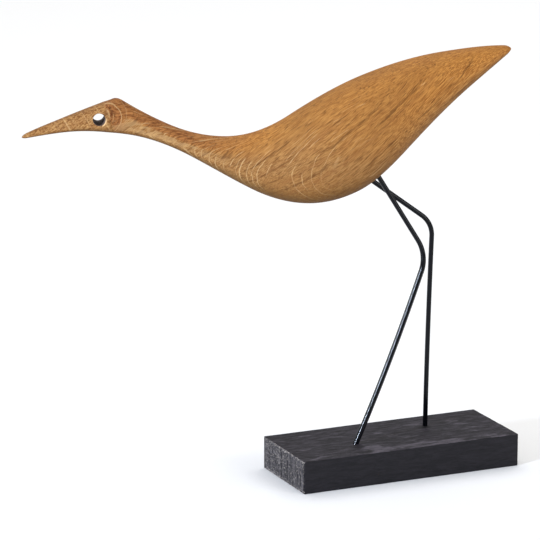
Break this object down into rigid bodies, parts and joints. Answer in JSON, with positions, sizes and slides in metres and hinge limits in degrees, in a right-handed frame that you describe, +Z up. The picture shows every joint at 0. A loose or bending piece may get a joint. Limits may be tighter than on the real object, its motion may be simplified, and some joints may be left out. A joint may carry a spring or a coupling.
{
  "type": "wooden heron figure",
  "caption": "Long-necked wading bird carved in oak, leaning forward on bent black steel rod legs set in a dark stained oak block.",
  "frame": {"origin": "centre of the underside of the base block", "axes": "+Z up, +X along the block's long sides towards the tail, +Y along its short sides, away from the bird's left side"},
  "size_m": [0.2947, 0.1058, 0.2716],
  "materials": {
    "oiled_oak": "carved, sanded smooth and oiled oak",
    "black_steel": "semi-gloss black lacquered steel rod",
    "stained_oak": "sawn oak, stained charcoal black, open pores"
  },
  "bodies": {
    "root": {"bird": "oiled_oak", "left_leg": "black_steel", "right_leg": "black_steel", "base_block": "stained_oak"}
  },
  "joints": []
}
